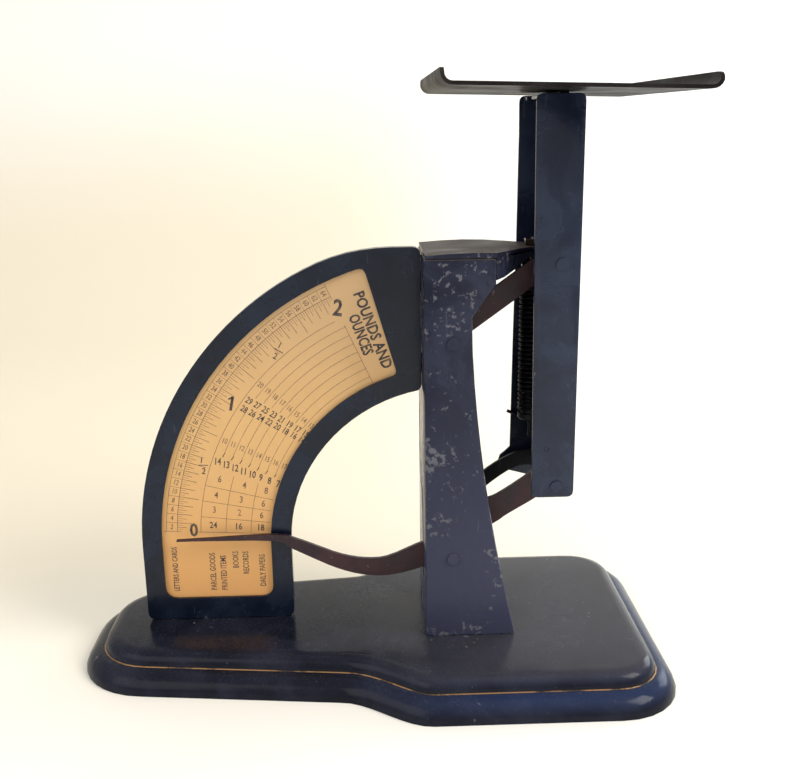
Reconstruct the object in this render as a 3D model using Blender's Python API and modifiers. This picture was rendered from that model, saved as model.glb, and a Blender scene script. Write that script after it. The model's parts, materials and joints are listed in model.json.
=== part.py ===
"""Spring letter scale with a quadrant dial: a stamped base, a sheet-metal column, a parallel linkage
that keeps the platform level, and a tension spring that the pointer lever works against.

Metres, +Z up, +X from the dial towards the platform, -Y towards the reader of the dial.
The origin is the middle of the base's footprint, on the surface it stands on.
Each helper takes millimetres and builds one named object. Pieces that touch keep a gap of GAP.
"""

import math

import bmesh
import bpy
from mathutils import Matrix, Vector

MM = 0.001
GAP = 0.3

# Base: a pan stamped from sheet, a wide lobe under the column and a narrow one under the dial
BASE_HALF_LENGTH = 91.0
BASE_WIDE = 49.0            # half-width of the wide lobe
BASE_NECK = 35.5            # half-width where the narrow lobe begins
BASE_NARROW = 29.0          # half-width at the narrow lobe's round end
BASE_TOP = 10.8
BASE_SHEET = 0.9
WIDE_CORNER = 20.0
NARROW_CORNER = 23.0
STEP_FROM, STEP_TO = -10.0, 17.0   # X range of the S-curve between the lobes
BASE_PROFILE = (            # (distance in from the footprint, height): lip, lower roll, step, upper roll
    (0.0, 0.0), (0.0, 1.1), (0.5, 2.5), (1.5, 4.1), (3.0, 5.4), (4.7, 6.2), (6.1, 6.4),
    (6.3, 7.6), (7.0, 9.0), (8.2, 10.1), (9.7, 10.65), (11.0, 10.8),
)

# Linkage: two equal parallel arms from the column to the post
FULCRUM = (25.0, 36.5)      # X, Z of the pointer lever's pin in the column
POST_PIN = (56.0, 58.9)     # X, Z of the pin that joins the lever to the post
LINK_RISE = 66.9            # the upper link's pins are this far above the lever's
SWEEP = 64.0                # degrees the lever turns, from zero to the end of the scale
PIN_RADIUS = 1.3
PIN_HEAD = 1.9
PIN_CLEAR = 0.08            # radial clearance of a sleeve or lever on its pin
SLEEVE_RADIUS = 2.6

# Column
SHEET = 1.0
COLUMN_HALF = 17.1          # half-width across the two flanges
COLUMN_LEFT = 16.6
COLUMN_TOP = 127.8
HEAD_RIGHT = 37.2
HEAD_BOTTOM = 120.3
NECK_TOP = 111.0
NECK_X = 30.4
FOOT_X = 44.3
COLUMN_TABS = (22.0, 37.0)  # X of the tabs that hold the column down
TAB_HALF = 3.0

# Spring arm: a sheet that caps the column's head and runs on into the post channel
ARM_TOP = 128.8             # at its tip, round the zero screw
ARM_UNDER = 127.95
ARM_SHEET = (               # (X, near Y, far Y, top): slightly arched over the head, tapered beyond it
    (17.0, -16.7, 16.7, 128.85), (24.0, -16.7, 16.7, 129.3), (30.5, -16.7, 16.7, 129.5),
    (37.3, -16.7, 16.2, 129.4), (40.2, -13.2, 15.2, 129.3), (44.4, -6.4, 14.2, 129.1),
    (48.6, -1.2, 12.4, 128.9), (52.7, 0.4, 8.6, 128.8),
)
ARM_NEAR = (                # (X, Y, depth) of the edge turned down on the reader's side, and on the far one
    (37.35, -16.0, 7.3), (40.0, -13.2, 6.8), (44.4, -6.4, 5.3), (48.6, -1.2, 3.0), (52.6, 0.4, 1.8),
)
ARM_FAR = ((37.35, 15.0, 7.3), (43.0, 14.6, 5.4), (46.6, 13.6, 4.0), (50.0, 11.0, 2.8), (52.6, 8.6, 1.8))
ARM_LAP = (34.0, 121.8, 126.3)     # from this X the turned-down edges run inside the head, between these Z

# Post and platform
POST_HALF = 16.3
POST_WEB = 61.2
POST_LEFT_TOP = 47.6
POST_LEFT_BOTTOM = 48.7
POST_TOP = 172.3
POST_BOTTOM = 55.6
EAR = (                     # the far flange is wider than the near one, with a round ear at its foot
    (47.7, 160.0), (47.4, 128.0), (46.9, 100.0), (46.6, 79.0), (46.4, 61.4),
    (45.0, 60.0), (43.2, 58.5), (42.4, 56.0), (42.8, 54.7), (46.3, 53.2),
    (52.2, 51.6), (59.4, 51.6), (60.9, 53.2), (60.9, 160.0),
)
BRACKET = ((48.8, -15.0, 166.0), (59.8, 15.0, 171.9))    # joins the platform to the post, inside it
BRACKET_SHEET = 1.0
PLATFORM_X = (19.2, 88.6)
PLATFORM_HALF = 46.0
PLATFORM_Z = 173.0          # under the plate, over the post's centre line
PLATFORM_SHEET = 1.0
PLATFORM_TILT = 1.5         # degrees down to the right, as such a hand-set platform ends up
LIP_HEIGHT = 4.2

# Dial: a quarter ring round the fulcrum, with straight legs down to the base
DIAL_OUTER = 97.1
DIAL_INNER = 50.2
WINDOW_OUTER = 91.0
WINDOW_INNER = 56.6
WINDOW_END = 73.8           # degrees above the horizontal, measured at the fulcrum
WINDOW_BOTTOM = 18.2
DIAL_TOP = 129.6            # the ring levels off here, beside the column's head
DIAL_BLEND = 63.5           # degrees above the horizontal at which it starts to
DIAL_RIGHT = 16.5
FRAME_Y = (-1.7, -0.7, 1.4)  # the frame's front face, the back of its front sheet, its rim's edge
RIM = 0.8
CARD_Y = (-0.4, 0.0)
BACK_Y = (0.3, 1.1)
DIAL_TABS = (-60.0, -37.0)  # X of the tabs that hold the dial to the base
DIAL_SIDE_TABS = (94.0, 119.0)   # Z of the tabs that hold the dial to the column

# Lever, links and spring
LEVER_Y = (-4.1, -2.9)
REAR_ARM_Y = (11.0, 12.2)
LINK_Y = (-2.2, -1.0)
LINK_HALF = 3.5
POST_SLEEVE = 2.0           # radius of the sleeves on the post's pins
POINTER = (                 # (X, Z, half-width) from the post's pin to the tip
    (56.0, 58.9, 3.9),
    (50.0, 54.3, 3.95), (41.5, 48.95, 3.75), (38.0, 47.0, 4.2), (30.5, 42.0, 4.0), (25.0, 36.5, 3.8),
    (15.9, 32.3, 4.0),
    (5.6, 28.9, 3.2), (-2.4, 28.9, 2.8), (-10.2, 30.9, 2.4),
    (-18.0, 34.4, 2.1), (-24.2, 37.3, 1.8), (-30.1, 39.4, 1.1), (-52.0, 39.3, 0.45), (-60.7, 39.1, 0.25),
)
REAR_ARM = ((25.0, 36.5, 3.0), (31.0, 45.6, 2.35), (39.8, 53.7, 2.35), (48.5, 58.6, 2.35), (56.0, 58.9, 3.0))
SPRING_X = 51.0
SPRING_Y = 4.2
SPRING_RADIUS = 3.6         # to the middle of the wire
SPRING_WIRE = 0.42          # radius
SPRING_TURNS = 29
SPRING_Z = (77.2, 121.1)
ANCHOR = (52.8, 70.75)      # X, Z of the cross wire in the post that the spring's hook pulls on
ANCHOR_TAIL = (45.1, 13.8, 74.2)   # where the wire's bent end comes out beside the far flange
ANCHOR_WIRE = 0.6           # radius
HOOK_WIRE = 0.65            # radius

model = bpy.data.collections.new("postal_scale")
cutters = bpy.data.collections.new("cutters")


def clear_scene():
    for obj in list(bpy.data.objects):
        bpy.data.objects.remove(obj, do_unlink=True)
    cutters.hide_render = True
    bpy.context.scene.collection.children.link(model)
    bpy.context.scene.collection.children.link(cutters)


def paint(name, colour, roughness, metallic):
    material = bpy.data.materials.new(name)
    material.use_nodes = True
    shader = material.node_tree.nodes["Principled BSDF"]
    shader.inputs["Base Color"].default_value = (*colour, 1.0)
    shader.inputs["Roughness"].default_value = roughness
    shader.inputs["Metallic"].default_value = metallic
    return material


def add(name, mesh, material):
    """Puts a mesh made in millimetres into the model as one object."""
    mesh.transform(Matrix.Scale(MM, 4))
    mesh.materials.clear()
    mesh.materials.append(material)
    obj = bpy.data.objects.new(name, mesh)
    model.objects.link(obj)
    return obj


def cut(obj, mesh, operation="DIFFERENCE"):
    """Cuts obj with a mesh made in millimetres, or joins it on."""
    mesh.transform(Matrix.Scale(MM, 4))
    tool = bpy.data.objects.new(obj.name + "_tool", mesh)
    tool.hide_render = True
    tool.display_type = "WIRE"
    cutters.objects.link(tool)
    step = obj.modifiers.new("Boolean", "BOOLEAN")
    step.operation = operation
    step.solver = "EXACT"
    step.object = tool
    return obj


def soften(obj, width, degrees=60.0):
    """Rounds every edge sharper than the angle, before any later cut."""
    step = obj.modifiers.new("Bevel", "BEVEL")
    step.width = width * MM
    step.segments = 2
    step.limit_method = "ANGLE"
    step.angle_limit = math.radians(degrees)


def baked(data, modifier=None):
    """The mesh that a curve, or a mesh under one modifier, evaluates to."""
    holder = bpy.data.objects.new("holder", data)
    bpy.context.scene.collection.objects.link(holder)
    if modifier:
        modifier(holder)
    graph = bpy.context.evaluated_depsgraph_get()
    mesh = bpy.data.meshes.new_from_object(holder.evaluated_get(graph))
    bpy.data.objects.remove(holder, do_unlink=True)
    return mesh


def tidy(mesh):
    """Welds a curve's loose caps and turns the faces outward."""
    work = bmesh.new()
    work.from_mesh(mesh)
    bmesh.ops.remove_doubles(work, verts=work.verts, dist=0.001)
    bmesh.ops.recalc_face_normals(work, faces=work.faces)
    work.to_mesh(mesh)
    work.free()
    return mesh


def plate(outlines, y_low, y_high):
    """A flat plate in the XZ plane: the first outline, with the others as holes, from y_low to y_high."""
    curve = bpy.data.curves.new("outline", "CURVE")
    curve.dimensions = "2D"
    curve.fill_mode = "BOTH"
    curve.extrude = (y_high - y_low) / 2
    for outline in outlines:
        spline = curve.splines.new("POLY")
        spline.points.add(len(outline) - 1)
        spline.use_cyclic_u = True
        for point, (x, z) in zip(spline.points, outline):
            point.co = (x, z, 0.0, 1.0)
    mesh = baked(curve)
    middle = Matrix.Translation((0, (y_low + y_high) / 2, 0))
    mesh.transform(middle @ Matrix.Rotation(math.radians(90), 4, "X"))
    return tidy(mesh)


def block(low, high):
    mesh = bpy.data.meshes.new("block")
    work = bmesh.new()
    bmesh.ops.create_cube(work, size=1.0)
    work.to_mesh(mesh)
    work.free()
    low, high = Vector(low), Vector(high)
    mesh.transform(Matrix.Translation((low + high) / 2) @ Matrix.Diagonal((*(high - low), 1.0)))
    return mesh


def rod(radius, x, z, y_low, y_high, steps=20):
    """A cylinder along Y."""
    mesh = bpy.data.meshes.new("rod")
    work = bmesh.new()
    bmesh.ops.create_cone(
        work, cap_ends=True, segments=steps, radius1=radius, radius2=radius, depth=y_high - y_low,
    )
    work.to_mesh(mesh)
    work.free()
    middle = Matrix.Translation((x, (y_low + y_high) / 2, z))
    mesh.transform(middle @ Matrix.Rotation(math.radians(90), 4, "X"))
    return mesh


def peg(radius, x, y, z_low, z_high, steps=20):
    """A cylinder along Z."""
    mesh = rod(radius, 0, 0, z_low, z_high, steps)
    mesh.transform(Matrix.Translation((x, y, 0)) @ Matrix.Rotation(math.radians(90), 4, "X"))
    return mesh


def turned(profile, x, y, steps=28):
    """A solid turned about Z from (radius, height) pairs, running from the axis down to the axis."""
    mesh = bpy.data.meshes.new("profile")
    points = [(0.0, 0.0, profile[0][1])] + [(r, 0.0, h) for r, h in profile] + [(0.0, 0.0, profile[-1][1])]
    mesh.from_pydata(points, [(k, k + 1) for k in range(len(points) - 1)], [])

    def spin(holder):
        screw = holder.modifiers.new("Screw", "SCREW")
        screw.steps = steps
        screw.render_steps = steps
        screw.use_merge_vertices = True
        screw.merge_threshold = 0.0001
        screw.use_normal_calculate = True

    mesh = baked(mesh, spin)
    mesh.transform(Matrix.Translation((x, y, 0)))
    return tidy(mesh)


def arc(centre, radius, start, end, steps):
    """Points on a circle, angles in degrees."""
    return [
        (
            centre[0] + radius * math.cos(math.radians(start + (end - start) * k / steps)),
            centre[1] + radius * math.sin(math.radians(start + (end - start) * k / steps)),
        )
        for k in range(steps + 1)
    ]


def rounded(outline, radius, steps=4):
    """The outline with each corner sharper than 40 degrees rounded off."""
    smooth = []
    for k, point in enumerate(outline):
        here = Vector(point)
        back = Vector(outline[k - 1]) - here
        on = Vector(outline[(k + 1) % len(outline)]) - here
        turn = math.pi - back.angle(on)
        if turn < math.radians(40):
            smooth.append(tuple(point))
            continue
        reach = min(radius * math.tan(turn / 2), 0.45 * back.length, 0.45 * on.length)
        one, two = here + back.normalized() * reach, here + on.normalized() * reach
        for j in range(steps + 1):
            t = j / steps
            smooth.append(tuple(one * (1 - t) ** 2 + here * 2 * t * (1 - t) + two * t * t))
    return smooth


def curve_through(points, steps=4):
    """A smooth curve through tuples of equal length."""
    ends = [points[0], *points, points[-1]]
    smooth = []
    for p0, p1, p2, p3 in zip(ends, ends[1:], ends[2:], ends[3:]):
        for k in range(steps):
            t = k / steps
            smooth.append(tuple(
                0.5 * (2 * b + (c - a) * t + (2 * a - 5 * b + 4 * c - d) * t**2
                       + (3 * b - a - 3 * c + d) * t**3)
                for a, b, c, d in zip(p0, p1, p2, p3)
            ))
    smooth.append(points[-1])
    return smooth


def strip(stations):
    """Outline of a flat bar from (x, z, half_width) stations, with round ends."""
    left, right = [], []
    for k, (x, z, half) in enumerate(stations):
        before, after = stations[max(k - 1, 0)], stations[min(k + 1, len(stations) - 1)]
        along = Vector((after[0] - before[0], after[1] - before[1])).normalized()
        left.append((x - along.y * half, z + along.x * half))
        right.append((x + along.y * half, z - along.x * half))
    caps = []
    for (x, z, half), (nx, nz, _) in ((stations[-1], stations[-2]), (stations[0], stations[1])):
        heading = math.degrees(math.atan2(nz - z, nx - x))
        caps.append(arc((x, z), half, heading + 270, heading + 90, 8)[1:-1])
    return left + caps[0] + right[::-1] + caps[1]


def base_outline():
    """The base's footprint as (x, y) points, anticlockwise from the middle of the wide end."""
    half = [(BASE_HALF_LENGTH, 0.0)]
    corner = (BASE_HALF_LENGTH - WIDE_CORNER, BASE_WIDE - WIDE_CORNER)
    half += arc(corner, WIDE_CORNER, 0, 90, 7)
    steps = 9
    for k in range(steps + 1):
        t = k / steps
        ease = t * t * (3 - 2 * t)
        half.append((STEP_TO + (STEP_FROM - STEP_TO) * t, BASE_WIDE + (BASE_NECK - BASE_WIDE) * ease))
    corner = (-BASE_HALF_LENGTH + NARROW_CORNER, BASE_NARROW - NARROW_CORNER)
    half += arc(corner, NARROW_CORNER, 95, 180, 8)
    half.append((-BASE_HALF_LENGTH, 0.0))
    return half + [(x, -y) for x, y in half[-2:0:-1]]


def inset(outline, distance):
    """Each point moved inward, along the bisector of its two edges."""
    moved = []
    count = len(outline)
    for k, (x, y) in enumerate(outline):
        before, after = outline[k - 1], outline[(k + 1) % count]
        one = Vector((x - before[0], y - before[1])).normalized()
        two = Vector((after[0] - x, after[1] - y)).normalized()
        normal = Vector((-(one.y + two.y), one.x + two.x)).normalized()
        scale = distance / max(0.5, normal.dot(Vector((-one.y, one.x))))
        moved.append((x + normal.x * scale, y + normal.y * scale))
    return moved


def base_pan(material):
    outline = base_outline()
    mesh = bpy.data.meshes.new("base_pan")
    work = bmesh.new()
    outside = [[work.verts.new((x, y, height)) for x, y in inset(outline, distance)]
               for distance, height in BASE_PROFILE]
    inside = [
        [work.verts.new((x, y, max(height - BASE_SHEET, 0.0)))
         for x, y in inset(outline, distance + BASE_SHEET)]
        for distance, height in BASE_PROFILE[:1] + BASE_PROFILE[2:]
    ]
    rings = inside[::-1] + outside
    count = len(outline)
    for low, high in zip(rings, rings[1:]):
        for k in range(count):
            nxt = (k + 1) % count
            work.faces.new((low[k], low[nxt], high[nxt], high[k]))
    work.faces.new(rings[-1])
    work.faces.new(rings[0])
    bmesh.ops.recalc_face_normals(work, faces=work.faces)
    work.to_mesh(mesh)
    work.free()
    base = add("base_pan", mesh, material)
    for side in (-1, 1):
        middle = side * (COLUMN_HALF - SHEET / 2)
        for x in COLUMN_TABS:
            reach = TAB_HALF + GAP
            cut(base, block((x - reach, middle - 0.7, 4), (x + reach, middle + 0.7, 16)))
    for x in DIAL_TABS:
        reach = TAB_HALF + GAP
        cut(base, block((x - reach, BACK_Y[0] - GAP, 4), (x + reach, BACK_Y[1] + GAP, 16)))
    return base


def column(material):
    """The U-shaped column: web towards the dial, open towards the post, with a closed head."""
    foot = BASE_TOP + GAP
    neck = []
    for k in range(11):
        drop = k / 10
        neck.append((NECK_X + (FOOT_X - NECK_X) * drop**1.7, NECK_TOP + (foot - NECK_TOP) * drop))
    outline = [
        (COLUMN_LEFT, foot - 4.0), (COLUMN_LEFT, COLUMN_TOP),
        (HEAD_RIGHT, COLUMN_TOP), (HEAD_RIGHT, HEAD_BOTTOM),
        *neck[:-1], (FOOT_X, foot), (FOOT_X + 0.9, foot - 4.0),
    ]
    shell = add("column_shell", plate([outline], -COLUMN_HALF, COLUMN_HALF), material)
    soften(shell, 0.8)
    cut(shell, block((COLUMN_LEFT - 5, -COLUMN_HALF - 5, foot - 9), (FOOT_X + 5, COLUMN_HALF + 5, foot)))
    inner = COLUMN_HALF - SHEET
    hollow = block((COLUMN_LEFT + SHEET, -inner, foot - 5), (FOOT_X + 20, inner, COLUMN_TOP - SHEET))
    cut(shell, hollow)
    # the lever swings through this slot in the web
    cut(shell, block((COLUMN_LEFT - 3, LEVER_Y[0] - 1.6, 24.0), (COLUMN_LEFT + 3, LEVER_Y[1] + 1.6, 55.0)))
    for z in DIAL_SIDE_TABS:
        reach = TAB_HALF + GAP
        low = (COLUMN_LEFT - 3, BACK_Y[0] - GAP, z - reach)
        cut(shell, block(low, (COLUMN_LEFT + 3, BACK_Y[1] + GAP, z + reach)))
    for z in (FULCRUM[1], FULCRUM[1] + LINK_RISE):
        cut(shell, rod(PIN_RADIUS + GAP, FULCRUM[0], z, -30, 30))
    under = BASE_TOP - BASE_SHEET - GAP
    for side in (-1, 1):
        for x in COLUMN_TABS:
            faces = sorted((side * (COLUMN_HALF - 0.1), side * (COLUMN_HALF - 0.9)))
            leg = block((x - TAB_HALF, faces[0], under - 1.0), (x + TAB_HALF, faces[1], foot + 2.0))
            faces = sorted((side * (COLUMN_HALF - 0.3), side * (COLUMN_HALF - 6.0)))
            half = TAB_HALF - 0.1
            toe = block((x - half, faces[0], under - 0.9), (x + half, faces[1], under - 0.1))
            cut(shell, leg, "UNION")
            cut(shell, toe, "UNION")
    return shell


def lofted(sections):
    """A closed solid through a row of four-cornered sections."""
    mesh = bpy.data.meshes.new("loft")
    work = bmesh.new()
    rows = [[work.verts.new(corner) for corner in section] for section in sections]
    for one, two in zip(rows, rows[1:]):
        for k in range(4):
            nxt = (k + 1) % 4
            work.faces.new((one[k], one[nxt], two[nxt], two[k]))
    work.faces.new(rows[0])
    work.faces.new(rows[-1])
    bmesh.ops.recalc_face_normals(work, faces=work.faces)
    work.to_mesh(mesh)
    work.free()
    return mesh


def spring_arm(material):
    """A cap over the column's head that tapers into an arm, with turned-down edges."""
    sections = [
        [(x, near, top), (x, near, ARM_UNDER), (x, far, ARM_UNDER), (x, far, top)]
        for x, near, far, top in ARM_SHEET
    ]
    arm = add("spring_arm", lofted(sections), material)
    for edge, inward in ((ARM_NEAR, 1.0), (ARM_FAR, -1.0)):
        sections = []
        for x, y, depth in edge:
            near, far = y + inward * 0.1, y + inward * 1.1
            top, foot = ARM_UNDER + 0.3, ARM_TOP - depth
            sections.append([(x, near, top), (x, near, foot), (x, far, foot), (x, far, top)])
        cut(arm, lofted(sections), "UNION")
    lap, foot, head = ARM_LAP
    for y in (-15.6, 13.95):
        cut(arm, block((lap, y, foot), (38.1, y + 0.65, head)), "UNION")
    cut(arm, peg(0.9 + GAP, SPRING_X, SPRING_Y, 110, 136))
    return arm


def dial_outline(shrink, foot, right):
    """The quarter ring drawn in by shrink all round, but reaching down to foot and across to right."""
    outer, inner = DIAL_OUTER - shrink, DIAL_INNER + shrink
    x, z = FULCRUM
    top = DIAL_TOP - shrink
    level = 180 - DIAL_BLEND
    # the ring runs into its level top along a curve, not at a corner
    joint = Vector(arc(FULCRUM, outer, level, level, 1)[0])
    along = Vector((math.sin(math.radians(level)), -math.cos(math.radians(level))))
    reach = (top - joint.y) / along.y
    elbow, end = joint + along * reach, Vector((joint.x + along.x * reach + reach, top))
    blend = [tuple(joint * (1 - t) ** 2 + elbow * 2 * t * (1 - t) + end * t * t)
             for t in (0.17, 0.33, 0.5, 0.67, 0.83, 1.0)]
    inner_end = math.degrees(math.acos((right - x) / inner))
    return [
        (x - outer, foot), (x - outer, z), *arc(FULCRUM, outer, 180, level, 26)[1:], *blend, (right, top),
        *arc(FULCRUM, inner, inner_end, 180, 18), (x - inner, foot),
    ][::-1]


def window_outline():
    x, _ = FULCRUM
    end = 180 - WINDOW_END
    outline = [
        (x - WINDOW_OUTER, WINDOW_BOTTOM), *arc(FULCRUM, WINDOW_OUTER, 180, end, 24),
        *arc(FULCRUM, WINDOW_INNER, end, 180, 18), (x - WINDOW_INNER, WINDOW_BOTTOM),
    ]
    return rounded(outline, 4.0)[::-1]


def dial(frame_material, card_material):
    foot = BASE_TOP + GAP
    outline = rounded(dial_outline(0.0, foot, DIAL_RIGHT), 2.5)
    frame = add("dial_frame", plate([outline, window_outline()], FRAME_Y[0], FRAME_Y[2]), frame_material)
    pocket = dial_outline(RIM, foot - 5.0, DIAL_RIGHT + 5.0)
    cut(frame, plate([pocket], FRAME_Y[1], FRAME_Y[2] + 3.0))
    inner = dial_outline(RIM + GAP, foot + GAP, DIAL_RIGHT)
    add("dial_card", plate([inner], *CARD_Y), card_material)
    back = add("dial_back", plate([inner], *BACK_Y), frame_material)
    under = BASE_TOP - BASE_SHEET - GAP
    near, far = BACK_Y[0] + 0.1, BACK_Y[1] - 0.1
    for x in DIAL_TABS:
        cut(back, block((x - TAB_HALF, near, under - 1.0), (x + TAB_HALF, far, foot + 3.0)), "UNION")
        half = TAB_HALF - 0.1
        toe = block((x - half, near + 0.1, under - 0.9), (x + half, far + 4.0, under - 0.1))
        cut(back, toe, "UNION")
    for z in DIAL_SIDE_TABS:
        inside = COLUMN_LEFT + SHEET + GAP
        cut(back, block((DIAL_RIGHT - 3.0, near, z - TAB_HALF), (inside + 1.0, far, z + TAB_HALF)), "UNION")
        half = TAB_HALF - 0.1
        toe = block((inside + 0.1, near + 0.1, z - half), (inside + 0.9, far + 4.0, z + half))
        cut(back, toe, "UNION")


def headed_pin(name, x, z, half, material):
    """A pin along Y, riveted over nearly flush outside each flange."""
    pin = add(name, rod(PIN_RADIUS, x, z, -half - 0.45, half + 0.45), material)
    for side in (-1, 1):
        low, high = sorted((side * (half + 0.15), side * (half + 0.55)))
        cut(pin, rod(PIN_HEAD, x, z, low, high), "UNION")
    return pin


def sleeve(name, radius, x, z, y_low, y_high, material):
    tube = add(name, rod(radius, x, z, y_low, y_high), material)
    cut(tube, rod(PIN_RADIUS + PIN_CLEAR, x, z, y_low - 1, y_high + 1))


def linkage(maroon, dark, steel, black):
    fx, fz = FULCRUM
    px, pz = POST_PIN
    inner_column = COLUMN_HALF - SHEET - GAP
    inner_post = POST_HALF - SHEET - GAP
    hole = PIN_RADIUS + PIN_CLEAR

    lever = add("pointer_lever", plate([strip(curve_through(POINTER, 3))], *LEVER_Y), maroon)
    rear = add("rear_arm", plate([strip(curve_through(REAR_ARM))], *REAR_ARM_Y), dark)
    for obj in (lever, rear):
        for x, z in (FULCRUM, POST_PIN):
            cut(obj, rod(hole, x, z, -30, 30))
    sleeve("fulcrum_sleeve", SLEEVE_RADIUS, fx, fz, LEVER_Y[1] + GAP, REAR_ARM_Y[0] - GAP, steel)
    sleeve("post_end_sleeve", POST_SLEEVE, px, pz, LEVER_Y[1] + GAP, REAR_ARM_Y[0] - GAP, steel)
    headed_pin("fulcrum_pin", fx, fz, COLUMN_HALF, steel)
    headed_pin("post_lower_pin", px, pz, POST_HALF, steel)

    uz, qz = fz + LINK_RISE, pz + LINK_RISE
    link = add("upper_link", plate([strip([(fx, uz, LINK_HALF), (px, qz, LINK_HALF)])], *LINK_Y), maroon)
    for x, z in ((fx, uz), (px, qz)):
        cut(link, rod(hole, x, z, -30, 30))
    sleeve("column_spacer_front", SLEEVE_RADIUS, fx, uz, -inner_column, LINK_Y[0] - GAP, steel)
    sleeve("column_spacer_rear", SLEEVE_RADIUS, fx, uz, LINK_Y[1] + GAP, inner_column, steel)
    sleeve("post_spacer_front", POST_SLEEVE, px, qz, -inner_post, LINK_Y[0] - GAP, steel)
    sleeve("post_spacer_rear", POST_SLEEVE, px, qz, LINK_Y[1] + GAP, inner_post, steel)
    headed_pin("column_upper_pin", fx, uz, COLUMN_HALF, steel)
    headed_pin("post_upper_pin", px, qz, POST_HALF, steel)

    outline = rounded([
        (POST_LEFT_BOTTOM, POST_BOTTOM), (POST_WEB, POST_BOTTOM),
        (POST_WEB, POST_TOP), (POST_LEFT_TOP, POST_TOP),
    ], 2.0)
    post = add("post_channel", plate([outline], -POST_HALF, POST_HALF), black)
    soften(post, 0.8)
    inner = POST_HALF - SHEET
    cut(post, block((POST_LEFT_TOP - 10, -inner, POST_BOTTOM - 10), (POST_WEB - SHEET, inner, POST_TOP + 10)))
    cut(post, plate([EAR], inner + 0.1, POST_HALF - 0.1), "UNION")
    for z in (pz, qz):
        cut(post, rod(PIN_RADIUS + GAP, px, z, -30, 30))
    cut(post, rod(ANCHOR_WIRE + 0.1, *ANCHOR, -30, 0))
    wire = rod(ANCHOR_WIRE, *ANCHOR, -POST_HALF + 0.1, ANCHOR_TAIL[1] + 0.3, 12)
    anchor = add("spring_anchor", wire, steel)
    start = Vector((ANCHOR[0], ANCHOR_TAIL[1], ANCHOR[1]))
    run = Vector(ANCHOR_TAIL) - start
    leg = peg(ANCHOR_WIRE - 0.05, 0, 0, 0, run.length, 12)
    leg.transform(Matrix.Translation(start) @ run.to_track_quat("Z", "Y").to_matrix().to_4x4())
    cut(anchor, leg, "UNION")


def platform(bright, black, steel):
    low, high = (Vector(corner) for corner in BRACKET)
    cap = add("platform_bracket", block(low, high), black)
    wall = Vector((BRACKET_SHEET,) * 3)
    cut(cap, block(low + wall - Vector((20, 0, 20)), high - wall))
    # room for the zero screw's nut when the post is right down
    cut(cap, block((low.x - 10, SPRING_Y - 4.4, low.z - 10), (SPRING_X + 4.4, SPRING_Y + 4.4, high.z + 10)))

    x0, x1 = PLATFORM_X
    bend = 3.0
    outer = [
        (x0, LIP_HEIGHT), *arc((x0 + bend, bend), bend, 180, 270, 5),
        *arc((x1 - bend, bend), bend, 270, 360, 5), (x1, LIP_HEIGHT),
    ]
    thin = bend - PLATFORM_SHEET
    inner = [
        (x1 - PLATFORM_SHEET, LIP_HEIGHT), *arc((x1 - bend, bend), thin, 360, 270, 5),
        *arc((x0 + bend, bend), thin, 270, 180, 5), (x0 + PLATFORM_SHEET, LIP_HEIGHT),
    ]
    tray = plate([outer + inner], -PLATFORM_HALF - 1, PLATFORM_HALF + 1)
    # seen from the end, the lips' corners are rounded
    corners = rounded([(-PLATFORM_HALF, -5.0), (PLATFORM_HALF, -5.0), (PLATFORM_HALF, LIP_HEIGHT),
                       (-PLATFORM_HALF, LIP_HEIGHT)], 3.5)
    corners = [(y, z) for y, z in corners]
    trim = plate([corners], -120, 10)
    trim.transform(Matrix.Rotation(math.radians(90), 4, "Z"))
    middle = (POST_LEFT_TOP + POST_WEB) / 2
    stand = Matrix.Translation((middle, 0, PLATFORM_Z)) @ Matrix.Rotation(math.radians(PLATFORM_TILT), 4, "Y")
    stand = stand @ Matrix.Translation((-middle, 0, 0))
    tray.transform(stand)
    trim.transform(stand)
    top = add("platform", tray, bright)
    cut(top, trim, "INTERSECT")
    for side, name in ((-1, "platform_rivet_front"), (1, "platform_rivet_rear")):
        x, y = 56.2, side * 11.0
        under = high.z - BRACKET_SHEET - GAP
        rivet = add(name, peg(1.3, x, y, under - 0.5, PLATFORM_Z + PLATFORM_SHEET - 0.15), steel)
        cut(rivet, peg(2.2, x, y, under - 0.9, under), "UNION")
        cut(top, peg(1.3 + GAP, x, y, 160, 180))
        cut(cap, peg(1.3 + GAP, x, y, 160, 180))


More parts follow.
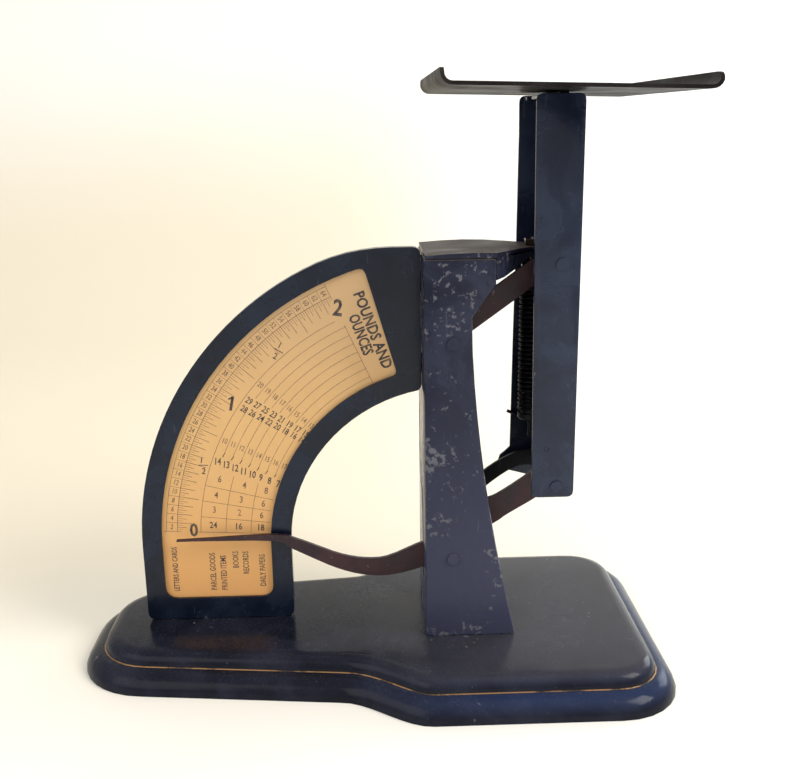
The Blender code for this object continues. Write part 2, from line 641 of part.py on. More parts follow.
def spring(steel, brass, dark):
    low, high = SPRING_Z
    coil = bpy.data.curves.new("load_spring", "CURVE")
    coil.dimensions = "3D"
    coil.bevel_depth = SPRING_WIRE
    coil.bevel_resolution = 0
    coil.use_fill_caps = True
    wire = coil.splines.new("POLY")
    count = SPRING_TURNS * 12
    wire.points.add(count)
    for k, point in enumerate(wire.points):
        turn = 2 * math.pi * k / 12
        point.co = (
            SPRING_X + SPRING_RADIUS * math.cos(turn), SPRING_Y + SPRING_RADIUS * math.sin(turn),
            low + (high - low) * k / count, 1.0,
        )
    add("load_spring", tidy(baked(coil)), steel)
    inside = SPRING_RADIUS - SPRING_WIRE - GAP

    bottom = low - SPRING_WIRE - GAP
    collar = bottom - 2.0
    plug = (
        (inside - 0.5, low + 6.0), (inside, low + 5.0), (inside, bottom), (3.9, bottom), (3.9, collar + 0.5),
        (3.4, collar), (HOOK_WIRE, collar), (HOOK_WIRE, ANCHOR[1] - 2.1), (0.2, ANCHOR[1] - 2.3),
    )
    hook = add("spring_hook", turned(plug, SPRING_X, SPRING_Y), dark)
    reach = ANCHOR[0] + 1.0 - SPRING_X
    toe = peg(HOOK_WIRE - 0.05, 0, 0, -0.3, reach, 12)
    below = ANCHOR[1] - ANCHOR_WIRE - HOOK_WIRE - GAP
    tilt = Matrix.Translation((SPRING_X, SPRING_Y, below)) @ Matrix.Rotation(math.radians(90), 4, "Y")
    toe.transform(tilt)
    cut(hook, toe, "UNION")

    top = high + SPRING_WIRE + GAP
    shank = 0.9
    screw = (
        (shank - 0.3, 131.4), (shank, 131.1), (shank, top + 1.8), (3.6, top + 1.6), (3.6, top), (inside, top),
        (inside, high - 6.0), (inside - 0.6, high - 7.0),
    )
    add("zero_screw", turned(screw, SPRING_X, SPRING_Y), steel)
    face = ARM_TOP + GAP
    nut = add("zero_nut", peg(3.1, SPRING_X, SPRING_Y, face, face + 1.9, 6), brass)
    cut(nut, peg(shank + GAP, SPRING_X, SPRING_Y, face - 2, face + 4, 16))


def main():
    clear_scene()
    black = paint("black_japan", (0.012, 0.013, 0.018), 0.12, 0.0)
    maroon = paint("maroon_paint", (0.11, 0.02, 0.016), 0.3, 0.0)
    dark = paint("dark_steel", (0.05, 0.045, 0.045), 0.35, 0.7)
    steel = paint("worn_steel", (0.42, 0.4, 0.38), 0.35, 1.0)
    bright = paint("bright_japan", (0.02, 0.021, 0.026), 0.1, 0.0)
    brass = paint("aged_brass", (0.42, 0.29, 0.12), 0.35, 1.0)
    card = paint("aged_card", (0.78, 0.6, 0.34), 0.7, 0.0)
    base_pan(black)
    column(black)
    spring_arm(black)
    dial(black, card)
    linkage(maroon, dark, steel, black)
    platform(bright, black, steel)
    spring(steel, brass, dark)


main()
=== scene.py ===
"""Looks of the letter scale: japanned sheet, a maroon lever, a printed card, bare steel and a gilt line.

Metres, in the model's own frame: +Z up, +X from the dial towards the platform, -Y towards the reader.
"""

import json
import math

import bmesh
import bpy
from mathutils import Matrix, Vector


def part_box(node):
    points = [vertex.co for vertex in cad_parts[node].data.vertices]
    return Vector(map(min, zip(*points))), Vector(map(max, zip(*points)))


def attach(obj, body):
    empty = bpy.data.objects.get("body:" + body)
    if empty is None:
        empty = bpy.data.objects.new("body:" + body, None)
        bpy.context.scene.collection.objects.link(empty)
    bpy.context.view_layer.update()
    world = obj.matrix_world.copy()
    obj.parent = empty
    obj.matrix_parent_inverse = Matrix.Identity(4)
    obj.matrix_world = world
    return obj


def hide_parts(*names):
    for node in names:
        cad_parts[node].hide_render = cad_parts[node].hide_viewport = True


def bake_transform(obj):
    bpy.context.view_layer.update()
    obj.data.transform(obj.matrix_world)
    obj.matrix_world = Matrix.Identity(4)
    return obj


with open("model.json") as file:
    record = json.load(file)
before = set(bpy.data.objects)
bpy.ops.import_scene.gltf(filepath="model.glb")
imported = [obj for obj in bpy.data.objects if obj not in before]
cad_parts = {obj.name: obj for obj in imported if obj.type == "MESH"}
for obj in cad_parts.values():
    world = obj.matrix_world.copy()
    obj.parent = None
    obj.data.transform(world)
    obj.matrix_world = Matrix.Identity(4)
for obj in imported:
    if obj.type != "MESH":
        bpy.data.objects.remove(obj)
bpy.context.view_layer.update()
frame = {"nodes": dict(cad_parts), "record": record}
body_of_node = {
    node: body for body, nodes in frame["record"]["behaviour"]["bodies"].items() for node in nodes
}
MM = 0.001
WELD = 0.00001          # points closer than this are one
SOFT_EDGE = 0.2         # millimetres taken off a sharp edge
PIN_EDGE = 0.3
SHARP_ANGLE = math.radians(35.0)
BUMP_DEPTH = 0.2 * MM


# ---------------------------------------------------------------- shader building blocks

class Paint:
    """A material and the few node shapes that its recipes are made of."""

    def __init__(self, name, colour=(0.5, 0.5, 0.5), roughness=0.5, metallic=0.0):
        self.material = bpy.data.materials.new(name)
        self.material.use_nodes = True
        self.tree = self.material.node_tree
        self.shader = self.tree.nodes["Principled BSDF"]
        self.set("Base Color", (*colour, 1.0))
        self.set("Roughness", roughness)
        self.set("Metallic", metallic)
        self.where = self.tree.nodes.new("ShaderNodeTexCoord").outputs["Object"]

    def set(self, name, value):
        self.shader.inputs[name].default_value = value

    def put(self, socket, value):
        if isinstance(value, bpy.types.NodeSocket):
            self.tree.links.new(value, socket)
        elif isinstance(value, tuple) and len(value) == 3 and socket.type == "RGBA":
            socket.default_value = (*value, 1.0)
        else:
            socket.default_value = value

    def drive(self, name, value):
        self.put(self.shader.inputs[name], value)

    def stretched(self, x, y, z):
        node = self.tree.nodes.new("ShaderNodeVectorMath")
        node.operation = "MULTIPLY"
        self.put(node.inputs[0], self.where)
        node.inputs[1].default_value = (x, y, z)
        return node.outputs[0]

    def noise(self, scale, detail, rough, where=None, warp=0.0):
        node = self.tree.nodes.new("ShaderNodeTexNoise")
        self.put(node.inputs["Vector"], where or self.where)
        node.inputs["Scale"].default_value = scale
        node.inputs["Detail"].default_value = detail
        node.inputs["Roughness"].default_value = rough
        node.inputs["Distortion"].default_value = warp
        return node.outputs["Fac"]

    def ramp(self, value, low, high, to_low=0.0, to_high=1.0):
        node = self.tree.nodes.new("ShaderNodeMapRange")
        node.interpolation_type = "SMOOTHSTEP"
        self.put(node.inputs["Value"], value)
        node.inputs["From Min"].default_value = low
        node.inputs["From Max"].default_value = high
        node.inputs["To Min"].default_value = to_low
        node.inputs["To Max"].default_value = to_high
        return node.outputs["Result"]

    def maths(self, operation, one, two):
        node = self.tree.nodes.new("ShaderNodeMath")
        node.operation = operation
        self.put(node.inputs[0], one)
        self.put(node.inputs[1], two)
        return node.outputs[0]

    def mix(self, factor, one, two):
        node = self.tree.nodes.new("ShaderNodeMix")
        node.data_type = "RGBA"
        self.put(node.inputs["Factor"], factor)
        self.put(node.inputs[6], one)
        self.put(node.inputs[7], two)
        return node.outputs[2]

    def axis(self, letter):
        node = self.tree.nodes.new("ShaderNodeSeparateXYZ")
        self.put(node.inputs[0], self.where)
        return node.outputs[letter]

    def facing_up(self):
        geometry = self.tree.nodes.new("ShaderNodeNewGeometry")
        node = self.tree.nodes.new("ShaderNodeSeparateXYZ")
        self.put(node.inputs[0], geometry.outputs["Normal"])
        return self.ramp(node.outputs["Z"], 0.3, 0.9)

    def bump(self, height, strength):
        node = self.tree.nodes.new("ShaderNodeBump")
        node.inputs["Strength"].default_value = strength
        node.inputs["Distance"].default_value = BUMP_DEPTH
        self.put(node.inputs["Height"], height)
        self.put(self.shader.inputs["Normal"], node.outputs["Normal"])


DUST = (0.10, 0.095, 0.10)
HAIRLINE = (0.13, 0.13, 0.15)
CHIP_DARK, CHIP_PALE = (0.05, 0.05, 0.06), (0.15, 0.15, 0.175)
# A tan for the tops: partly thinned paint, partly a painted reflection.
THINNED_AND_SHEEN = (0.105, 0.083, 0.072)
# Painted sheen colours for up-facing parts: bluish on the rim, grey on the top.
SHEEN_ON_RIM, SHEEN_ON_TOP = (0.035, 0.060, 0.160), (0.10, 0.092, 0.095)


def japan(name, wear, colour, dust=0.3, gloss=0.30, rubbed_and_sheen=0.0, low=None, dull=0.0, painted_sheen=0.0):
    """Baked black enamel: clouded gloss, dust where it lies flat, hairlines, and soft grey chips.

    rubbed thins it where it faces up, with a tan that is partly worn paint and partly a painted reflection
    on the tops.
    low is its colour near the foot, and brings more chips at the height where it is handled. dull roughens
    it.
    haze is a painted sheen on what faces up, bluish on the rim and grey on the top, stronger towards the
    platform end, on which the light falls.
    """
    paint = Paint(name, colour)
    cloud = paint.noise(55, 6, 0.6, warp=0.6)
    fleck = paint.noise(480, 4, 0.65)
    patch = paint.noise(48, 3, 0.5, warp=0.4)
    speck = paint.noise(1500, 2, 0.5)
    edge = 0.74 - 0.10 * wear
    biased = paint.maths("ADD", fleck, paint.ramp(patch, 0.42, 0.72, -0.10, 0.10))
    if low:
        above = paint.ramp(paint.axis("Z"), 0.03, 0.06)
        below = paint.ramp(paint.axis("Z"), 0.10, 0.12, 0.11, 0.0)
        handled = paint.maths("MULTIPLY", above, below)
        biased = paint.maths("ADD", biased, handled)
    chips = paint.ramp(biased, edge, edge + 0.06)
    hair = paint.noise(1.0, 2, 0.5, paint.stretched(1500, 1500, 90), 0.3)
    scratch = paint.ramp(hair, 0.73 - 0.03 * wear, 0.77)
    lying = paint.maths("MULTIPLY", paint.facing_up(), paint.ramp(speck, 0.55, 0.78, 0.0, dust))
    tone = paint.mix(paint.ramp(cloud, 0.35, 0.7), colour, tuple(c * 2.0 + 0.003 for c in colour))
    if low:
        tone = paint.mix(paint.ramp(paint.axis("Z"), 0.02, 0.11), low, tone)
    tone = paint.mix(lying, tone, DUST)
    # Painted sheen: bluish-grey on what faces up, stronger towards the platform end, where the light falls.
    if painted_sheen:
        sheen_strength = paint.ramp(paint.axis("X"), -0.02, 0.05, 0.0, painted_sheen)
        sheen_mask = paint.maths("MULTIPLY", paint.facing_up(), sheen_strength)
        sheen_colour = paint.mix(paint.ramp(paint.axis("Z"), 0.006, 0.012), SHEEN_ON_RIM, SHEEN_ON_TOP)
        tone = paint.mix(sheen_mask, tone, sheen_colour)
    tone = paint.mix(paint.maths("MULTIPLY", scratch, 0.3), tone, HAIRLINE)
    tone = paint.mix(chips, tone, paint.mix(patch, CHIP_DARK, CHIP_PALE))
    rough = paint.ramp(cloud, 0.3, 0.75, 0.16 + dull, 0.38 + dull)
    # Lighter tan where it faces up: partly thinned paint, partly a painted reflection on the tops.
    if rubbed_and_sheen:
        uneven = paint.ramp(cloud, 0.2, 0.5, 0.5 * rubbed_and_sheen, rubbed_and_sheen)
        thin = paint.maths("MULTIPLY", paint.facing_up(), uneven)
        tone = paint.mix(thin, tone, THINNED_AND_SHEEN)
        rough = paint.maths("ADD", rough, paint.maths("MULTIPLY", thin, 0.35))
    paint.drive("Base Color", tone)
    rough = paint.maths("ADD", rough, paint.maths("MULTIPLY", chips, 0.3))
    paint.drive("Roughness", paint.maths("ADD", rough, paint.maths("MULTIPLY", lying, 0.35)))
    paint.set("Specular IOR Level", gloss)
    height = paint.maths("SUBTRACT", paint.noise(160, 3, 0.5), paint.maths("MULTIPLY", chips, 0.8))
    paint.bump(height, 0.16)
    return paint.material


def maroon(name):
    """Thin brown-purple enamel, clouded, worn to bare metal in places."""
    paint = Paint(name)
    cloud = paint.noise(120, 5, 0.6)
    fleck = paint.noise(700, 3, 0.6)
    chips = paint.ramp(fleck, 0.66, 0.72)
    tone = paint.mix(paint.ramp(cloud, 0.3, 0.7), (0.016, 0.008, 0.013), (0.055, 0.022, 0.024))
    paint.drive("Base Color", paint.mix(chips, tone, (0.15, 0.11, 0.10)))
    paint.drive("Roughness", paint.ramp(cloud, 0.3, 0.7, 0.30, 0.50))
    paint.set("Specular IOR Level", 0.3)
    paint.bump(paint.noise(400, 3, 0.5), 0.15)
    return paint.material


def bare_steel(name, light, dark, rough=(0.25, 0.5)):
    """Dull metal, darkened in patches."""
    paint = Paint(name, metallic=1.0)
    cloud = paint.noise(260, 5, 0.65)
    paint.drive("Base Color", paint.mix(paint.ramp(cloud, 0.38, 0.66), light, dark))
    paint.drive("Roughness", paint.ramp(cloud, 0.35, 0.7, *rough))
    paint.bump(paint.noise(1400, 2, 0.5), 0.12)
    return paint.material


def old_card(name):
    """Aged card: amber at the foot, paler halfway up, duller at the top, with stains and fine fibres."""
    paint = Paint(name, roughness=0.62)
    height = paint.axis("Z")
    tone = paint.mix(paint.ramp(height, 0.015, 0.075), (0.72, 0.37, 0.13), (0.70, 0.43, 0.18))
    tone = paint.mix(paint.ramp(height, 0.070, 0.120), tone, (0.60, 0.39, 0.20))
    stain = paint.ramp(paint.noise(38, 5, 0.6), 0.48, 0.78, 0.0, 0.30)
    tone = paint.mix(stain, tone, (0.50, 0.27, 0.10))
    fibre = paint.ramp(paint.noise(1300, 3, 0.6), 0.4, 0.75, 0.0, 0.16)
    paint.drive("Base Color", paint.mix(fibre, tone, (0.55, 0.38, 0.20)))
    paint.set("Specular IOR Level", 0.2)
    paint.bump(paint.noise(900, 3, 0.5), 0.08)
    return paint.material


def ink(name, colour, fade):
    """Printer's ink, thin enough in places for the card's colour to show."""
    paint = Paint(name, colour, 0.7)
    thin = paint.ramp(paint.noise(500, 3, 0.6), 0.35, 0.75, 0.0, fade)
    paint.drive("Base Color", paint.mix(thin, colour, (0.62, 0.40, 0.19)))
    return paint.material


def gilt(name):
    """A hand-drawn bronze line, rubbed away here and there."""
    paint = Paint(name, metallic=0.6, roughness=0.42)
    rub = paint.ramp(paint.noise(130, 4, 0.6), 0.46, 0.62)
    paint.drive("Base Color", paint.mix(rub, (0.34, 0.19, 0.075), (0.05, 0.035, 0.025)))
    return paint.material


# ---------------------------------------------------------------- pieces made from the frame

def skin(node, material, round_off):
    """A shown copy of a CAD node: welded, smooth where it curves, with its sharp edges softened."""
    source = frame["nodes"][node].data
    mesh = source.copy()
    mesh.materials.clear()
    mesh.materials.append(material)
    for attribute in ("custom_normal", "sharp_edge"):
        if attribute in mesh.attributes:
            mesh.attributes.remove(mesh.attributes[attribute])
    work = bmesh.new()
    work.from_mesh(mesh)
    bmesh.ops.remove_doubles(work, verts=work.verts, dist=WELD)
    bmesh.ops.dissolve_limit(
        work, angle_limit=math.radians(0.5), verts=work.verts, edges=work.edges,
        use_dissolve_boundaries=False,
    )
    for face in work.faces:
        face.smooth = True
        face.material_index = 0
    work.to_mesh(mesh)
    work.free()
    mesh.set_sharp_from_angle(angle=SHARP_ANGLE)
    obj = bpy.data.objects.new(node + "_skin", mesh)
    bpy.context.scene.collection.objects.link(obj)
    if round_off:
        soft = obj.modifiers.new("Soft edge", "BEVEL")
        soft.width = round_off * MM
        soft.segments = 2
        soft.limit_method = "ANGLE"
        soft.angle_limit = SHARP_ANGLE
        soft.harden_normals = True
    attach(obj, body_of_node[node])
    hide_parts(node)


def baked(data):
    """The mesh that a curve or a text evaluates to."""
    holder = bpy.data.objects.new("holder", data)
    bpy.context.scene.collection.objects.link(holder)
    graph = bpy.context.evaluated_depsgraph_get()
    mesh = bpy.data.meshes.new_from_object(holder.evaluated_get(graph))
    bpy.data.objects.remove(holder, do_unlink=True)
    return mesh


def shown(name, mesh, material):
    mesh.materials.clear()
    mesh.materials.append(material)
    obj = bpy.data.objects.new(name, mesh)
    bpy.context.scene.collection.objects.link(obj)
    return obj


LEDGE_RISE = 6.4 * MM
LEDGE_SLACK = 0.02 * MM
GILT_RADIUS = 0.34 * MM
GILT_SUNK = 0.12 * MM


def gilt_line(material):
    """The line drawn round the base, on the ledge of its moulding."""
    low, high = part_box("base_pan")
    ledge_height = low.z + LEDGE_RISE
    hub_x = (low.x + high.x) / 2 + 0.01     # in the wide lobe, so that a ray from it meets the outline once
    ring = {
        (round(v.co.x, 6), round(v.co.y, 6))
        for v in frame["nodes"]["base_pan"].data.vertices
        if abs(v.co.z - ledge_height) < LEDGE_SLACK
    }
    ring = sorted(ring, key=lambda point: math.atan2(point[1], point[0] - hub_x))
    curve = bpy.data.curves.new("gilt_line", "CURVE")
    curve.dimensions = "3D"
    curve.bevel_depth = GILT_RADIUS
    curve.bevel_resolution = 2
    line = curve.splines.new("POLY")
    line.use_cyclic_u = True
    line.points.add(len(ring) - 1)
    for point, (x, y) in zip(line.points, ring):
        point.co = (x, y, ledge_height - GILT_SUNK, 1.0)
    obj = shown("gilt_line", baked(curve), material)
    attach(obj, "stand")


COIL_WIRE = 0.46 * MM       # half the wire's thickness
COIL_TURNS = 30
COIL_STEPS = 24             # points in a turn


def coil_spring(material):
    """The load spring, close-wound, drawn down by its hook as the post sinks."""
    low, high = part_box("load_spring")
    radius = (high.x - low.x) / 2 - COIL_WIRE
    x, y = (low.x + high.x) / 2, (low.y + high.y) / 2
    bottom, top = low.z + COIL_WIRE, high.z - COIL_WIRE
    points = COIL_TURNS * COIL_STEPS
    curve = bpy.data.curves.new("coil", "CURVE")
    curve.dimensions = "3D"
    curve.bevel_depth = COIL_WIRE
    curve.bevel_resolution = 2
    curve.use_fill_caps = True
    line = curve.splines.new("POLY")
    line.points.add(points)
    for k, point in enumerate(line.points):
        angle = 2 * math.pi * k / COIL_STEPS
        height = bottom + (top - bottom) * k / points
        point.co = (x + radius * math.cos(angle), y + radius * math.sin(angle), height, 1.0)
    mesh = baked(curve)
    mesh.shade_smooth()
    obj = shown("load_spring_coil", mesh, material)
    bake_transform(obj)
    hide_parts("load_spring")


# ---------------------------------------------------------------- the printed scale

pin_low, pin_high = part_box("fulcrum_pin")
centre = Vector(((pin_low.x + pin_high.x) / 2, (pin_low.z + pin_high.z) / 2))
card_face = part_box("dial_card")[0].y
INK_DEEP = 0.02 * MM
INK_WELD = 0.0000001

# From here on lengths are in millimetres. A radius is measured from the pointer's fulcrum, and a turn is in
# degrees above the level there.
ZERO_TURN, TWO_TURN = 2.9, 65.7
OUNCES = 32
OUNCE = (TWO_TURN - ZERO_TURN) / OUNCES
HALF_POUND = 8 * OUNCE
BAND_OUTER, BAND_INNER, BAND_MIDDLE = 89.6, 86.2, 87.9
QUARTER_POUND_TICK, OUNCE_TICK = 6.2, 4.6
HALF_OUNCE_TICK_END, QUARTER_OUNCE_TICK_END = 83.4, 84.6


def at(radius, turn):
    """(x, z) in metres on the card, from a radius and a turn."""
    turn = math.radians(turn)
    return centre + Vector((-math.cos(turn), math.sin(turn))) * radius * MM


class Print:
    """Everything in one ink: thin raised strokes, figures and words, gathered in one mesh."""

    def __init__(self):
        self.work = bmesh.new()

    def stroke(self, points, width):
        half = width * MM / 2
        rows = []
        for k, point in enumerate(points):
            along = (points[min(k + 1, len(points) - 1)] - points[max(k - 1, 0)]).normalized()
            side = Vector((-along.y, along.x)) * half
            rows.append([
                self.work.verts.new((p.x, y, p.y))
                for p, y in (
                    (point + side, card_face - INK_DEEP), (point - side, card_face - INK_DEEP),
                    (point - side, card_face), (point + side, card_face),
                )
            ])
        for one, two in zip(rows, rows[1:]):
            for k in range(4):
                nxt = (k + 1) % 4
                self.work.faces.new((one[k], one[nxt], two[nxt], two[k]))
        self.work.faces.new(rows[0][::-1])
        self.work.faces.new(rows[-1])

    def arc(self, radius, start, end, width):
        steps = max(2, int((end - start) / 1.5))
        self.stroke([at(radius, start + (end - start) * k / steps) for k in range(steps + 1)], width)

    def spoke(self, turn, inner, outer, width):
        self.stroke([at(outer, turn), at(inner, turn)], width)

    def write(self, label, place, size, lean, squeeze, bold):
        """A figure or word centred on place, turned clockwise by lean degrees."""
        text = bpy.data.curves.new("text", "FONT")
        text.body = label
        text.size = size * MM
        text.align_x = "CENTER"
        text.align_y = "CENTER"
        text.resolution_u = 2
        text.extrude = INK_DEEP / 2
        text.offset = bold * MM
        mesh = baked(text)
        mesh.transform(
            Matrix.Translation((place.x, card_face - INK_DEEP / 2, place.y))
            @ Matrix.Rotation(math.radians(lean), 4, "Y")
            @ Matrix.Rotation(math.radians(90), 4, "X")
            @ Matrix.Diagonal((squeeze, 1.0, 1.0, 1.0))
        )
        self.work.from_mesh(mesh)
        bpy.data.meshes.remove(mesh)

    def finish(self, name, material):
        bmesh.ops.remove_doubles(self.work, verts=self.work.verts, dist=INK_WELD)
        bmesh.ops.recalc_face_normals(self.work, faces=self.work.faces)
        mesh = bpy.data.meshes.new(name)
        self.work.to_mesh(mesh)
        self.work.free()
        obj = shown(name, mesh, material)
        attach(obj, "stand")


def ounce_bands(fine):
    """The outer band of numbered cells and, inside it, the ticks."""
    fine.arc(BAND_OUTER, ZERO_TURN, TWO_TURN, 0.14)
    fine.arc(BAND_INNER, ZERO_TURN, TWO_TURN, 0.18)
    for k in range(1, OUNCES):
        turn = ZERO_TURN + OUNCE * k
        fine.spoke(turn, BAND_INNER, BAND_OUTER, 0.12)
        reach = QUARTER_POUND_TICK if k % 4 == 0 else OUNCE_TICK
        fine.spoke(turn, BAND_INNER - reach, BAND_INNER, 0.16)
    for k in range(OUNCES):
        turn = ZERO_TURN + OUNCE * (k + 0.5)
        fine.write(str(2 * k + 2), at(BAND_MIDDLE, turn), 2.4, turn * 0.8 + 8, 0.72, 0.03)
        fine.spoke(turn, HALF_OUNCE_TICK_END, BAND_INNER, 0.14)
        for quarter in (0.25, 0.75):
            fine.spoke(ZERO_TURN + OUNCE * (k + quarter), QUARTER_OUNCE_TICK_END, BAND_INNER, 0.10)


ROWS = 8
ROW_OUTER, ROW_INNER = 77.4, 57.4
ROW_STEP = (ROW_OUTER - ROW_INNER) / (ROWS - 1)


def rate_rows(fine, dark):
    """Concentric rows from the half-pound mark up, with figures across them there and at one pound."""
    half, one = ZERO_TURN + HALF_POUND, ZERO_TURN + 2 * HALF_POUND
    for k in range(ROWS):
        radius = ROW_OUTER - k * ROW_STEP
        first = half + 2.2 - 0.12 * k
        second = one + 1.4 + 0.2 * k
        dark.write(str(14 - k), at(radius - 0.3, first), 3.2, 6 + k, 0.72, 0.055)
        dark.stroke([at(radius - 1.2, first + 1.6), at(radius - 1.6, first + 2.7)], 0.22)
        dark.write(str(29 - 2 * k), at(radius - 0.3, second + 1.6), 2.9, 36, 0.72, 0.05)
        dark.write(str(28 - 2 * k), at(radius - 0.5, second - 0.7), 2.9, 36, 0.72, 0.05)
        if k:
            edge = radius + ROW_STEP / 2
            fine.arc(edge, half + 3.6, second - 0.6, 0.13)
            fine.arc(edge, second + 2.8, TWO_TURN, 0.13)
        for turn, figure in ((half + 7.5, 10 + k), (one + 7.6, 20 - k)):
            fine.write(str(figure), at(radius, turn), 2.5, turn * 0.9, 0.7, 0.02)
    fine.arc(ROW_OUTER + ROW_STEP / 2, ZERO_TURN, TWO_TURN - 1.5, 0.15)
    fine.spoke(TWO_TURN, 56.8, 76.6, 0.16)
    fine.spoke(TWO_TURN, 85.0, 90.3, 0.16)


def parcel_grid(fine, dark):
    """Four rows of three boxes between the zero line and the half-pound mark."""
    outer, inner = 78.8, 57.0
    for radius in (70.9, 63.0):
        fine.arc(radius, ZERO_TURN, ZERO_TURN + HALF_POUND - 0.2, 0.13)
    for turn in (6.7, 10.6, 14.4):
        fine.spoke(turn, inner, outer, 0.13)
    fine.spoke(ZERO_TURN, inner - 0.6, outer + 1, 0.15)
    fine.spoke(ZERO_TURN, 85.0, 90.5, 0.15)
    middles = (74.9, 67.0, 60.0)
    for turn, row in ((8.7, "326"), (12.5, "436"), (16.7, "648")):
        for radius, figure in zip(middles, row):
            fine.write(figure, at(radius, turn), 3.1, turn * 0.5, 0.8, 0.03)
    for radius, figure in zip(middles, ("24", "16", "18")):
        dark.write(figure, at(radius, 4.7), 3.0, 3, 0.8, 0.05)


def big_figures(dark):
    """The marks at nought, one and two pounds, and a small half at each half pound between."""
    nudge = 0.3
    marks = (("0", 0, 81.0, 6.2, 1, 0.16), ("2", 4, 82.0, 7.0, 8, 0.18))
    for figure, step, radius, size, lean, bold in marks:
        dark.write(figure, at(radius, ZERO_TURN + HALF_POUND * step + nudge), size, lean, 0.85, bold)
    middle = at(81.0, ZERO_TURN + HALF_POUND * 2 + nudge)
    lean = math.radians(12)
    up = Vector((math.sin(lean), math.cos(lean))) * MM
    left = Vector((-math.cos(lean), math.sin(lean))) * MM
    dark.stroke([middle - up * 2.2, middle + up * 2.3], 0.85)
    dark.stroke([middle + up * 2.1, middle + up * 1.2 + left * 1.2], 0.5)
    for step in (1, 3):
        turn = ZERO_TURN + HALF_POUND * step
        lean = turn * 0.55
        dark.write("1", at(81.9, turn + 1.3), 2.6, lean, 0.9, 0.04)
        dark.stroke([at(82.3, turn + 0.1), at(79.5, turn + 0.7)], 0.28)
        dark.write("2", at(80.3, turn - 1.0), 2.8, lean, 0.9, 0.04)


def words(dark):
    """Plain unit and class names in place of any maker's lettering."""
    column_words = (
        (75.6, "PARCEL GOODS"), (72.2, "PRINTED ITEMS"), (68.2, "BOOKS"), (65.0, "RECORDS"),
        (59.8, "DAILY PAPERS"),
    )
    for radius, word in column_words:
        drop = 3.0 + 0.56 * len(word)
        place = Vector((centre.x - radius * MM, centre.y - drop * MM))
        dark.write(word, place, 2.6, -90, 0.68, 0.035)
    margin = Vector((centre.x - 87.5 * MM, centre.y - 8.6 * MM))
    dark.write("LETTERS AND CARDS", margin, 2.4, -90, 0.66, 0.035)
    dark.write("POUNDS AND", at(71.8, 71.3), 4.7, 70, 0.82, 0.14)
    dark.write("OUNCES", at(71.9, 68.2), 4.7, 70, 0.7, 0.14)


def printed_scale():
    fine, dark = Print(), Print()
    ounce_bands(fine)
    rate_rows(fine, dark)
    parcel_grid(fine, dark)
    big_figures(dark)
    words(dark)
    fine.finish("scale_lines", ink("brown_ink", (0.12, 0.072, 0.045), 0.35))
    dark.finish("scale_figures", ink("dark_ink", (0.030, 0.026, 0.030), 0.22))


# ---------------------------------------------------------------- stage

def backdrop():
    """A pale sheet that runs along the table and sweeps up behind the object, with a painted warm shadow on
    it to the object's left.
    """
    bend, back, front, tall, half_width = 0.30, 0.75, -1.2, 1.6, 1.8
    steps = 12
    profile = [(front, 0.0), (back - bend, 0.0)]
    for k in range(1, steps + 1):
        turn = math.radians(90 * k / steps)
        profile.append((back - bend + bend * math.sin(turn), bend - bend * math.cos(turn)))
    profile.append((back, tall))
    mesh = bpy.data.meshes.new("backdrop")
    points = [(side * half_width, y, z) for y, z in profile for side in (-1, 1)]
    faces = [(2 * k, 2 * k + 1, 2 * k + 3, 2 * k + 2) for k in range(len(profile) - 1)]
    mesh.from_pydata(points, [], faces)
    mesh.shade_smooth()
    paint = Paint("pale_cloth", roughness=0.9)
    cloud = paint.noise(3.0, 3, 0.5)
    white = paint.mix(paint.ramp(cloud, 0.3, 0.7), (0.93, 0.93, 0.86), (0.96, 0.96, 0.91))
    # Painted warm shadow: a cream-brown patch to the left of the object, low down and behind it.
    leftward = paint.ramp(paint.axis("X"), -0.04, 0.18, 1.0, 0.0)
    low_down = paint.ramp(paint.axis("Z"), 0.04, 0.26, 1.0, 0.0)
    behind = paint.ramp(paint.axis("Y"), -0.12, 0.10)
    painted_warm_shade = paint.maths("MULTIPLY", paint.maths("MULTIPLY", leftward, low_down), behind)
    paint.drive("Base Color", paint.mix(painted_warm_shade, white, (0.85, 0.77, 0.60)))
    obj = shown("backdrop", mesh, paint.material)


def lamp(name, place, aim, size, energy, colour):
    light = bpy.data.lights.new(name, "AREA")
    light.shape = "RECTANGLE"
    light.size, light.size_y = size
    light.energy = energy
    light.color = colour
    obj = bpy.data.objects.new(name, light)
    obj.location = place
    obj.rotation_euler = (Vector(aim) - Vector(place)).to_track_quat("-Z", "Y").to_euler()
    bpy.context.scene.collection.objects.link(obj)


def lighting():
    world = bpy.data.worlds.new("room")
    bpy.context.scene.world = world
    world.use_nodes = True
    sky = world.node_tree.nodes["Background"]
    sky.inputs["Color"].default_value = (0.97, 0.96, 1.0, 1.0)
    sky.inputs["Strength"].default_value = 0.72
    lamp("key", (0.75, -0.35, 0.75), (0.0, 0.0, 0.06), (0.5, 0.5), 8.0, (1.0, 0.96, 0.90))
    lamp("rim", (0.7, 0.45, 0.35), (0.07, 0.0, 0.01), (0.4, 0.3), 2.2, (0.82, 0.90, 1.0))
    lamp("fill", (-0.7, -0.6, 0.6), (0.0, 0.0, 0.08), (0.8, 0.6), 2.6, (1.0, 0.97, 0.94))


EYE = (0.001, -0.2966, 0.166)
EYE_TURNS = (74.87, 0.74, -1.94)        # degrees about X, Y and Z


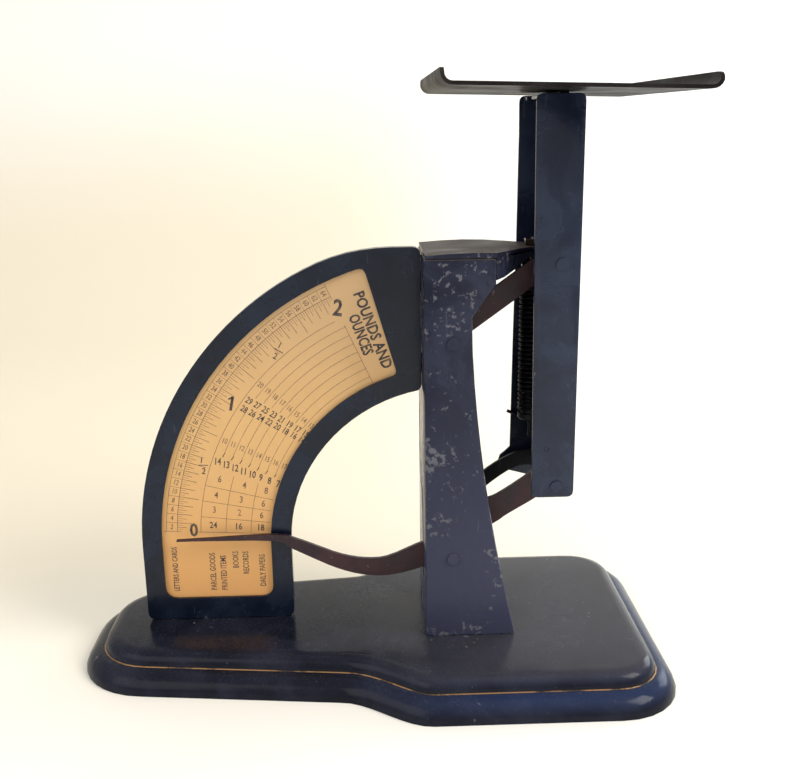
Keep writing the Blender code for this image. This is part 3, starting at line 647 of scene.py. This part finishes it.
def camera():
    lens = bpy.data.cameras.new("camera")
    lens.lens = 45.0
    lens.sensor_width = 36.0
    obj = bpy.data.objects.new("camera", lens)
    obj.location = EYE
    obj.rotation_euler = tuple(math.radians(angle) for angle in EYE_TURNS)
    bpy.context.scene.collection.objects.link(obj)
    bpy.context.scene.camera = obj
    bpy.context.scene.view_settings.view_transform = "Standard"


# ---------------------------------------------------------------- putting it together

def dress():
    # The base gets a painted sheen on its up-facing parts, stronger towards the platform end.
    base = japan("base_japan", 0.35, (0.006, 0.007, 0.013), dust=0.20, gloss=0.12, dull=-0.06, painted_sheen=0.35)
    # The tower gets a lighter tan on its tops: partly thinned paint, partly a painted reflection.
    tower = japan(
        "tower_japan", 1.2, (0.012, 0.014, 0.026), gloss=0.13, rubbed_and_sheen=0.9, low=(0.041, 0.044, 0.076),
    )
    dial = japan("dial_japan", 0.15, (0.003, 0.006, 0.014), gloss=0.28)
    post = japan("post_japan", 0.25, (0.008, 0.012, 0.026))
    tray = japan("tray_japan", 0.5, (0.012, 0.010, 0.010), gloss=0.03, dull=0.2)
    dark = japan("dark_steel_worn", 0.2, (0.008, 0.008, 0.010), gloss=0.12, dull=0.15)
    looks = {
        base: ("base_pan",),
        tower: ("column_shell", "spring_arm"),
        dial: ("dial_frame", "dial_back"),
        post: ("post_channel", "platform_bracket", "post_lower_pin", "post_upper_pin", "spring_anchor"),
        tray: ("platform", "platform_rivet_front", "platform_rivet_rear"),
        maroon("lever_maroon"): ("pointer_lever", "upper_link"),
        dark: ("rear_arm", "spring_hook"),
        bare_steel("pin_steel", (0.16, 0.15, 0.15), (0.05, 0.045, 0.04)): (
            "fulcrum_sleeve", "post_end_sleeve", "column_spacer_front", "column_spacer_rear",
            "post_spacer_front", "post_spacer_rear", "zero_screw",
        ),
        bare_steel("nut_brass", (0.026, 0.021, 0.016), (0.012, 0.010, 0.008)): ("zero_nut",),
        old_card("old_card"): ("dial_card",),
    }
    for material, nodes in looks.items():
        for node in nodes:
            skin(node, material, 0.0 if node == "dial_card" else SOFT_EDGE)
    for node in ("fulcrum_pin", "column_upper_pin"):
        skin(node, tower, PIN_EDGE)
    # The coil is dark steel, darkened further as painted shade for the shadow it sits in inside the post.
    coil_spring(bare_steel("spring_steel_and_shade", (0.014, 0.015, 0.019), (0.006, 0.006, 0.008), (0.5, 0.7)))
    gilt_line(gilt("worn_gilt"))
    printed_scale()


camera()
backdrop()
lighting()
dress()
